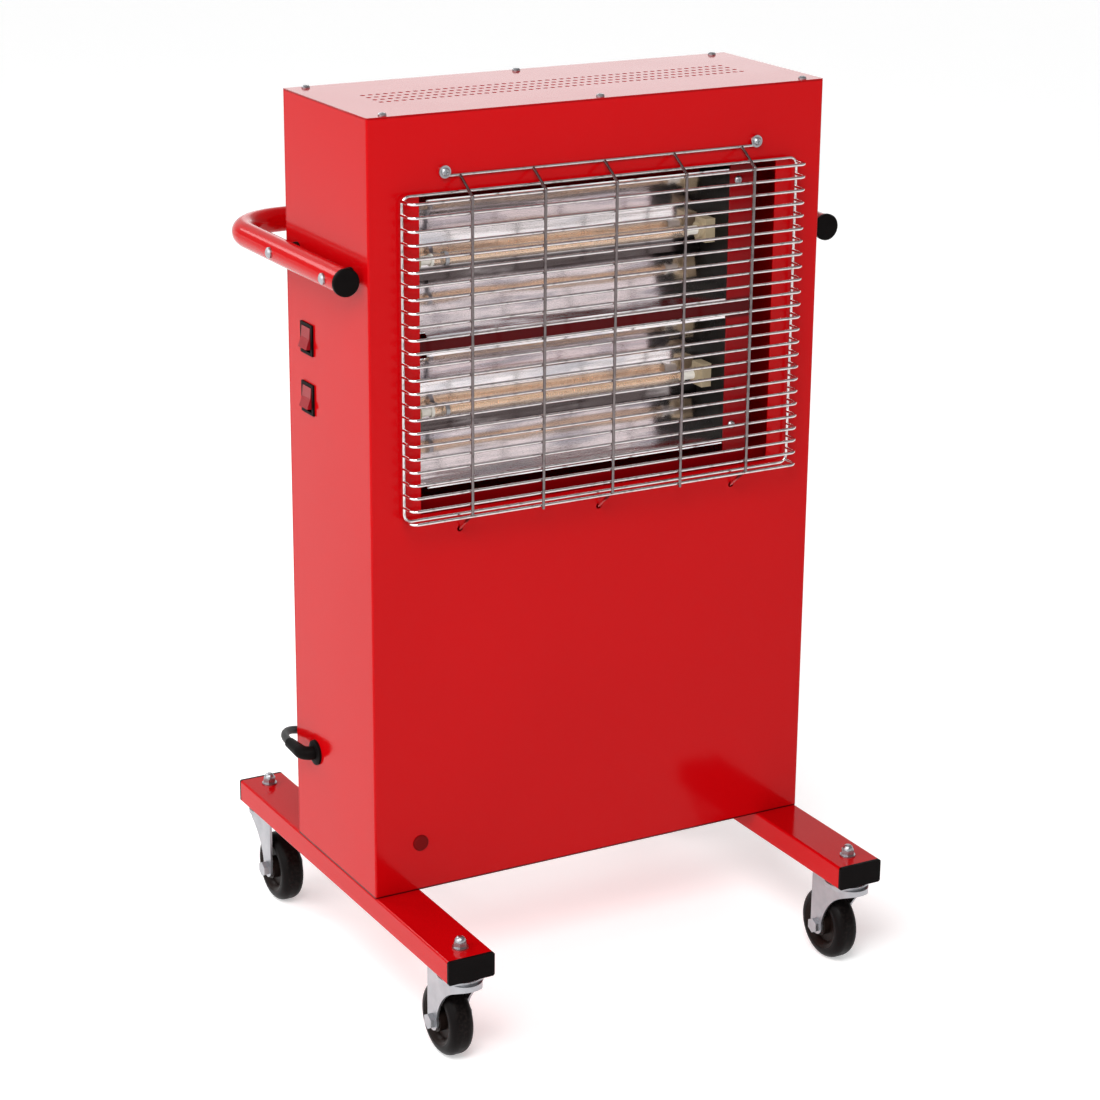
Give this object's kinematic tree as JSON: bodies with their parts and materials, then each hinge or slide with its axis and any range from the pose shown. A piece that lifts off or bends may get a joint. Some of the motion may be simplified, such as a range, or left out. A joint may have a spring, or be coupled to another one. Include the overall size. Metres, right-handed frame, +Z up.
{
  "type": "mobile infrared heater",
  "caption": "Tall red sheet-steel cabinet heater on swivel castors, with quartz lamps in reflectors behind a wire guard, a push handle round the back, rocker switches and a mains lead.",
  "frame": {"origin": "on the floor, below the middle of the cabinet", "axes": "+Z up, front faces -Y, switches and lead on the -X side"},
  "size_m": [0.566, 0.617, 0.9064],
  "materials": {
    "red_paint": "gloss powder coat",
    "zinc": "zinc plated",
    "chrome_wire": "bright",
    "black_plastic": "satin",
    "dark_red_plastic": "satin",
    "polished_aluminium": "polished",
    "dark_steel": "dull",
    "quartz": "clear gold",
    "filament": "wound wire",
    "white_ceramic": "unglazed",
    "tan_ceramic": "unglazed",
    "red_plastic": "gloss",
    "cord_rubber": "matt",
    "wheel_rubber": "matt"
  },
  "bodies": {
    "cabinet": {"cabinet_shell": "red_paint", "back_panel": "red_paint", "back_screws": "zinc", "top_plate": "red_paint", "top_screws": "zinc", "base_plate": "red_paint", "base_bolts": "zinc", "base_nuts": "zinc", "front_plug": "dark_red_plastic", "guard_ring": "chrome_wire", "guard_bars": "chrome_wire", "guard_uprights": "chrome_wire", "guard_rod": "chrome_wire", "guard_screws": "chrome_wire", "element_carrier": "red_paint", "carrier_screws": "zinc", "upper_reflector": "polished_aluminium", "lower_reflector": "polished_aluminium", "reflector_ends": "dark_steel", "upper_lamp": "quartz", "lower_lamp": "quartz", "filaments": "filament", "lamp_caps": "white_ceramic", "lamp_holders": "tan_ceramic", "lamp_clips": "zinc", "terminal_block": "white_ceramic", "handle_tube": "red_paint", "handle_caps": "black_plastic", "handle_spacers": "black_plastic", "handle_bolts": "zinc", "handle_nuts": "zinc", "upper_switch": "black_plastic", "lower_switch": "black_plastic", "left_rail": "red_paint", "right_rail": "red_paint", "rail_caps": "black_plastic", "castor_stems": "zinc", "stem_washers": "zinc", "dome_nuts": "zinc", "strain_relief": "black_plastic", "gland_nut": "black_plastic", "cord_lead": "cord_rubber", "cord_coil": "cord_rubber", "cord_tie": "black_plastic", "plug": "black_plastic", "plug_pins": "zinc"},
    "castor_fl": {"fork_fl": "zinc", "axle_fl": "zinc"},
    "wheel_fl": {"wheel_fl": "wheel_rubber"},
    "castor_fr": {"fork_fr": "zinc", "axle_fr": "zinc"},
    "wheel_fr": {"wheel_fr": "wheel_rubber"},
    "castor_rl": {"fork_rl": "zinc", "axle_rl": "zinc"},
    "wheel_rl": {"wheel_rl": "wheel_rubber"},
    "castor_rr": {"fork_rr": "zinc", "axle_rr": "zinc"},
    "wheel_rr": {"wheel_rr": "wheel_rubber"},
    "upper_rocker": {"upper_rocker": "red_plastic"},
    "lower_rocker": {"lower_rocker": "red_plastic"}
  },
  "joints": [
    {"name": "swivel_fl", "type": "hinge", "parent": "cabinet", "child": "castor_fl", "pos_m": [-0.225, -0.226, 0.0975], "axis": [0, 0, 1], "continuous": true},
    {"name": "roll_fl", "type": "hinge", "parent": "castor_fl", "child": "wheel_fl", "pos_m": [-0.225, -0.199, 0.0375], "axis": [1, 0, 0], "continuous": true},
    {"name": "swivel_fr", "type": "hinge", "parent": "cabinet", "child": "castor_fr", "pos_m": [0.225, -0.226, 0.0975], "axis": [0, 0, 1], "continuous": true},
    {"name": "roll_fr", "type": "hinge", "parent": "castor_fr", "child": "wheel_fr", "pos_m": [0.225, -0.199, 0.0375], "axis": [1, 0, 0], "continuous": true},
    {"name": "swivel_rl", "type": "hinge", "parent": "cabinet", "child": "castor_rl", "pos_m": [-0.225, 0.226, 0.0975], "axis": [0, 0, 1], "continuous": true},
    {"name": "roll_rl", "type": "hinge", "parent": "castor_rl", "child": "wheel_rl", "pos_m": [-0.225, 0.199, 0.0375], "axis": [1, 0, 0], "continuous": true},
    {"name": "swivel_rr", "type": "hinge", "parent": "cabinet", "child": "castor_rr", "pos_m": [0.225, 0.226, 0.0975], "axis": [0, 0, 1], "continuous": true},
    {"name": "roll_rr", "type": "hinge", "parent": "castor_rr", "child": "wheel_rr", "pos_m": [0.225, 0.199, 0.0375], "axis": [1, 0, 0], "continuous": true},
    {"name": "upper_switch_press", "type": "hinge", "parent": "cabinet", "child": "upper_rocker", "pos_m": [-0.247, 0.046, 0.667], "axis": [0, -1, 0], "range_deg": [0, 24]},
    {"name": "lower_switch_press", "type": "hinge", "parent": "cabinet", "child": "lower_rocker", "pos_m": [-0.247, 0.046, 0.607], "axis": [0, -1, 0], "range_deg": [0, 24]}
  ]
}
